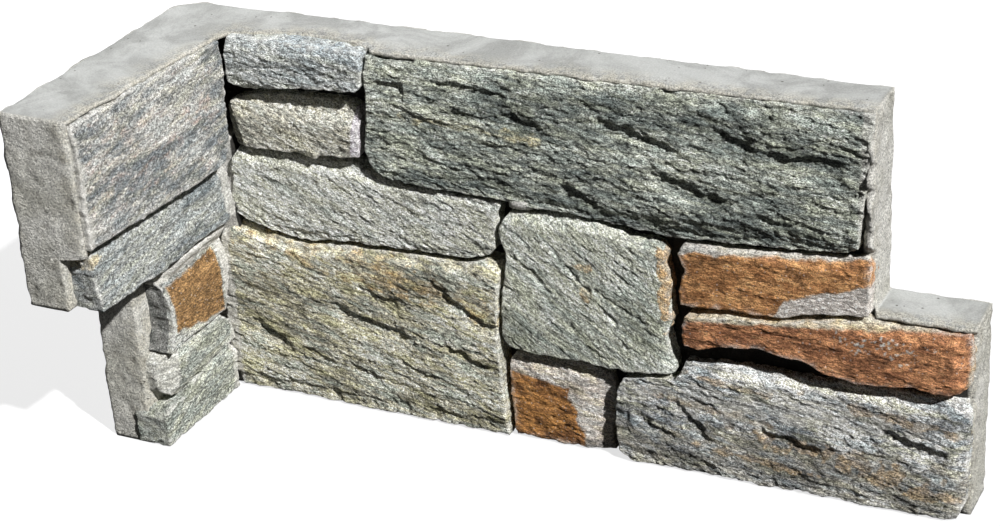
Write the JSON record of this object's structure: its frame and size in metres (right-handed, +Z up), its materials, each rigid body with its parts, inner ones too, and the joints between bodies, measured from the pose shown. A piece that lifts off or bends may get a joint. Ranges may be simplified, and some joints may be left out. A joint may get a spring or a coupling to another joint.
{
  "type": "stone veneer inside corner",
  "caption": "L-shaped wall cladding panel for an inside corner: split natural stones bedded in a cast cement backing with stepped, interlocking ends.",
  "frame": {"origin": "middle of the footprint, on the bed that the panel stands on", "axes": "+X along the long leg away from the inside corner, +Y into the wall behind the long leg, +Z up; the short leg runs towards -Y with the wall behind it on the -X side"},
  "size_m": [0.425, 0.155, 0.2],
  "materials": {
    "cement": "cast, smooth, with pinholes",
    "grey_stone": "split face",
    "green_grey_stone": "split face",
    "ochre_grey_stone": "split face",
    "rust_stone": "split face, rusty"
  },
  "bodies": {
    "root": {"cement_backing": "cement", "long_top_left_stone": "grey_stone", "long_second_left_stone": "grey_stone", "long_top_slab": "green_grey_stone", "long_middle_left_stone": "grey_stone", "long_base_left_slab": "ochre_grey_stone", "long_centre_stone": "green_grey_stone", "long_upper_rust_stone": "rust_stone", "long_rust_ledge_stone": "rust_stone", "long_base_rust_stone": "rust_stone", "long_base_right_slab": "ochre_grey_stone", "short_top_slab": "grey_stone", "short_second_stone": "grey_stone", "short_rust_stone": "rust_stone", "short_fourth_stone": "grey_stone", "short_base_stone": "grey_stone"}
  },
  "joints": []
}
